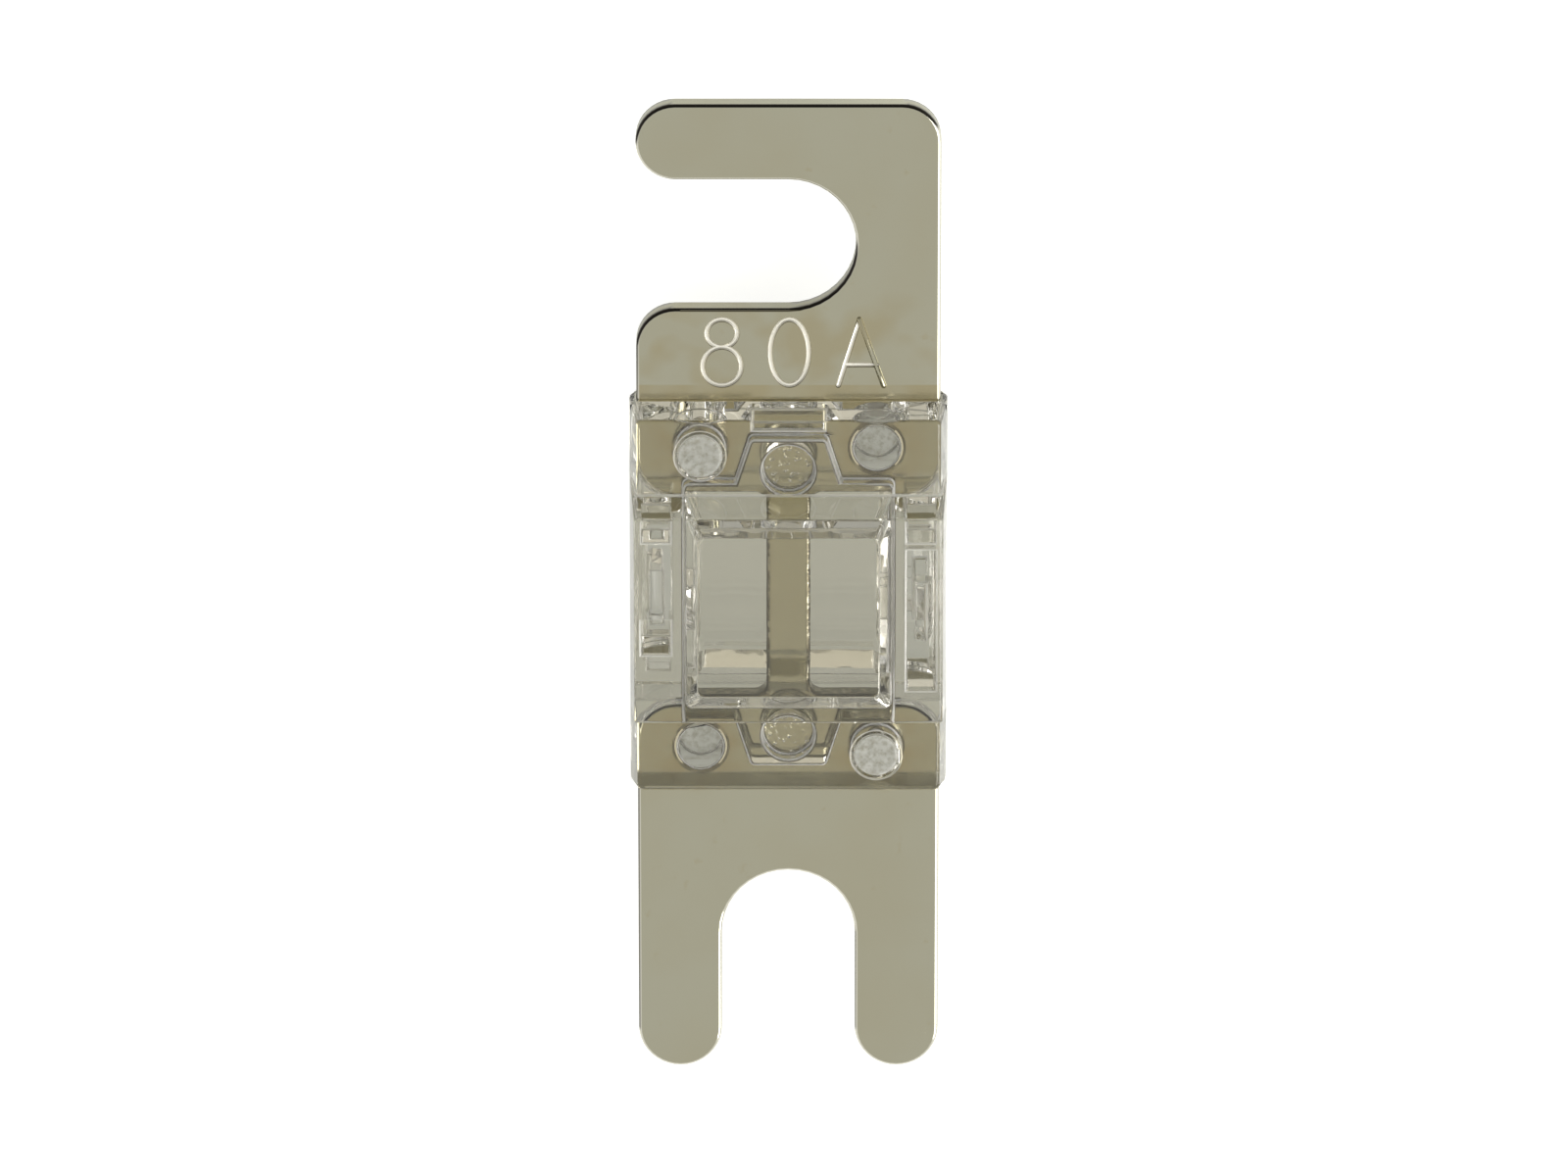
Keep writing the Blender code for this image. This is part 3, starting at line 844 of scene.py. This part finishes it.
def studio_world():
    """A bright room that is dark beyond the side slot and on the left.

    Light that has passed through the plastic meets a room that only darkens towards the floor.
    """
    world = bpy.data.worlds.new("studio")
    bpy.context.scene.world = world
    world.use_nodes = True
    tree = world.node_tree
    tree.nodes.clear()
    place = tree.nodes.new("ShaderNodeTexCoord").outputs["Generated"]

    def toward(direction, low, high):
        """How far a direction of the room lies towards another, from 0 to 1."""
        near = tree.nodes.new("ShaderNodeVectorMath")
        near.operation = "DOT_PRODUCT"
        near.inputs[1].default_value = Vector(direction).normalized()
        patch = tree.nodes.new("ShaderNodeMapRange")
        patch.interpolation_type = "SMOOTHSTEP"
        patch.inputs["From Min"].default_value = low
        patch.inputs["From Max"].default_value = high
        tree.links.new(place, near.inputs[0])
        tree.links.new(near.outputs["Value"], patch.inputs["Value"])
        return patch.outputs["Result"]

    def blend(amount, first, second):
        """A colour between two, each a socket or a colour."""
        node = tree.nodes.new("ShaderNodeMix")
        node.data_type = "RGBA"
        tree.links.new(amount, node.inputs["Factor"])
        for socket, value in ((node.inputs[6], first), (node.inputs[7], second)):
            if isinstance(value, tuple):
                socket.default_value = (*value, 1.0)
            else:
                tree.links.new(value, socket)
        return node.outputs[2]

    outside = blend(toward((-0.22, 0.85, 0.32), 0.40, 0.75), (0.78, 0.78, 0.76), (0.36, 0.36, 0.34))
    within = blend(toward((0.0, -0.34, 0.94), 0.40, 0.99), (0.37, 0.365, 0.325), (0.66, 0.63, 0.53))
    path = tree.nodes.new("ShaderNodeLightPath")
    unscattered = tree.nodes.new("ShaderNodeMath")
    unscattered.operation = "LESS_THAN"
    unscattered.inputs[1].default_value = 0.5
    tree.links.new(path.outputs["Diffuse Depth"], unscattered.inputs[0])
    straight = tree.nodes.new("ShaderNodeMath")
    straight.operation = "MULTIPLY"
    tree.links.new(path.outputs["Is Transmission Ray"], straight.inputs[0])
    tree.links.new(unscattered.outputs["Value"], straight.inputs[1])
    room = tree.nodes.new("ShaderNodeBackground")
    tree.links.new(blend(straight.outputs["Value"], outside, within), room.inputs["Color"])
    white = tree.nodes.new("ShaderNodeBackground")
    white.inputs["Color"].default_value = (1.0, 1.0, 1.0, 1.0)
    chosen = tree.nodes.new("ShaderNodeMixShader")
    tree.links.new(path.outputs["Is Camera Ray"], chosen.inputs["Fac"])
    tree.links.new(room.outputs["Background"], chosen.inputs[1])
    tree.links.new(white.outputs["Background"], chosen.inputs[2])
    output = tree.nodes.new("ShaderNodeOutputWorld")
    tree.links.new(chosen.outputs["Shader"], output.inputs["Surface"])


def soft_lamp(name, place, size, power):
    """A square soft lamp that faces the middle of the fuse."""
    bpy.ops.object.light_add(type="AREA", location=place)
    lamp = bpy.context.object
    lamp.name = name
    lamp.data.size = size
    lamp.data.energy = power
    lamp.rotation_euler = (-Vector(place)).to_track_quat("-Z", "Y").to_euler()
    return lamp


class FUSE_OT_stage(bpy.types.Operator):
    """Sets the floor, the lamps and the camera"""

    bl_idname = "strip_fuse.make_stage"
    bl_label = "Stage"

    def execute(self, context):
        stage = settings().fuse_stage
        deselect()
        below = (0.0, 0.0, -FLOOR_DROP)
        bpy.ops.mesh.primitive_grid_add(x_subdivisions=8, y_subdivisions=8, size=4.0, location=below)
        floor = bpy.context.object
        floor.name = "floor"
        floor.data.materials.append(pale_floor(stage))
        studio_world()
        soft_lamp("right_lamp", (0.30, -0.11, 0.35), 0.36, stage.lamp)

        bpy.ops.object.camera_add()
        camera = bpy.context.object
        camera.name = "camera"
        middle = Vector((-stage.offset_x, 0.0, MIDDLE_Z))
        toward = Vector((0.0, math.sin(stage.lean), math.cos(stage.lean)))
        camera.location = middle + toward * stage.distance
        camera.rotation_euler = (-stage.lean, 0.0, 0.0)
        camera.data.lens = camera.data.sensor_width * stage.distance / stage.view_width
        context.scene.camera = camera
        context.scene.view_settings.view_transform = "Standard"
        context.scene.cycles.max_bounces = PLASTIC_BOUNCES
        context.scene.cycles.glossy_bounces = PLASTIC_BOUNCES
        context.scene.cycles.transmission_bounces = PLASTIC_BOUNCES
        return {"FINISHED"}


class FUSE_PT_panel(bpy.types.Panel):
    """The fuse's steps, in the 3D view's sidebar"""

    bl_idname = "FUSE_PT_panel"
    bl_label = "Strip fuse"
    bl_space_type = "VIEW_3D"
    bl_region_type = "UI"
    bl_category = "Strip fuse"

    def draw(self, context):
        for group in ("fuse_stamp", "fuse_plating", "fuse_housing", "fuse_stage"):
            values = getattr(context.scene, group)
            box = self.layout.box()
            for name in values.__annotations__:
                box.prop(values, name)
        for operator in OPERATORS:
            self.layout.operator(operator.bl_idname)


SETTINGS = {
    "fuse_stamp": StampSettings,
    "fuse_plating": PlatingSettings,
    "fuse_housing": HousingSettings,
    "fuse_stage": StageSettings,
}
OPERATORS = (FUSE_OT_strip, FUSE_OT_housing, FUSE_OT_stage)


def register():
    for group in SETTINGS.values():
        bpy.utils.register_class(group)
    for name, group in SETTINGS.items():
        setattr(bpy.types.Scene, name, PointerProperty(type=group))
    for operator in OPERATORS:
        bpy.utils.register_class(operator)
    bpy.utils.register_class(FUSE_PT_panel)


def unregister():
    bpy.utils.unregister_class(FUSE_PT_panel)
    for operator in reversed(OPERATORS):
        bpy.utils.unregister_class(operator)
    for name in SETTINGS:
        delattr(bpy.types.Scene, name)
    for group in reversed(SETTINGS.values()):
        bpy.utils.unregister_class(group)


def main():
    register()
    bpy.ops.strip_fuse.make_strip()
    bpy.ops.strip_fuse.make_housing()
    bpy.ops.strip_fuse.make_stage()


if __name__ == "__main__":
    main()
